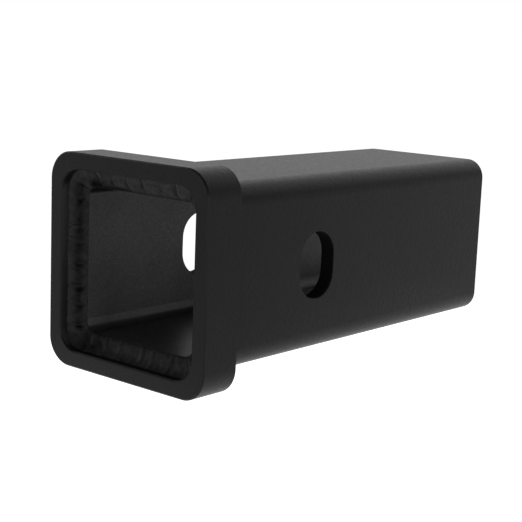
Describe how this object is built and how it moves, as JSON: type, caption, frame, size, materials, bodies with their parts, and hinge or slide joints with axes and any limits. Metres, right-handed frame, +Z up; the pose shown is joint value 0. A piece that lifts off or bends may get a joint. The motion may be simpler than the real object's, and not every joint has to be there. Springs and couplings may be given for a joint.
{
  "type": "hitch reducer sleeve",
  "caption": "Square steel sleeve with a welded stop collar and a pin slot, which seats a smaller hitch shank in a larger receiver tube.",
  "frame": {"origin": "on the tube's centreline, at the middle of the pin slots", "axes": "+X along the tube to the end that goes into the receiver, +Y across along the hitch pin, +Z up"},
  "size_m": [0.1736, 0.076, 0.076],
  "materials": {
    "coated_tube": "satin black powder coat on steel tube",
    "coated_collar": "satin black powder coat on a sawn steel band",
    "coated_weld": "satin black powder coat over a rippled weld bead"
  },
  "bodies": {
    "root": {"sleeve_tube": "coated_tube", "stop_collar": "coated_collar", "weld_bead": "coated_weld"}
  },
  "joints": []
}
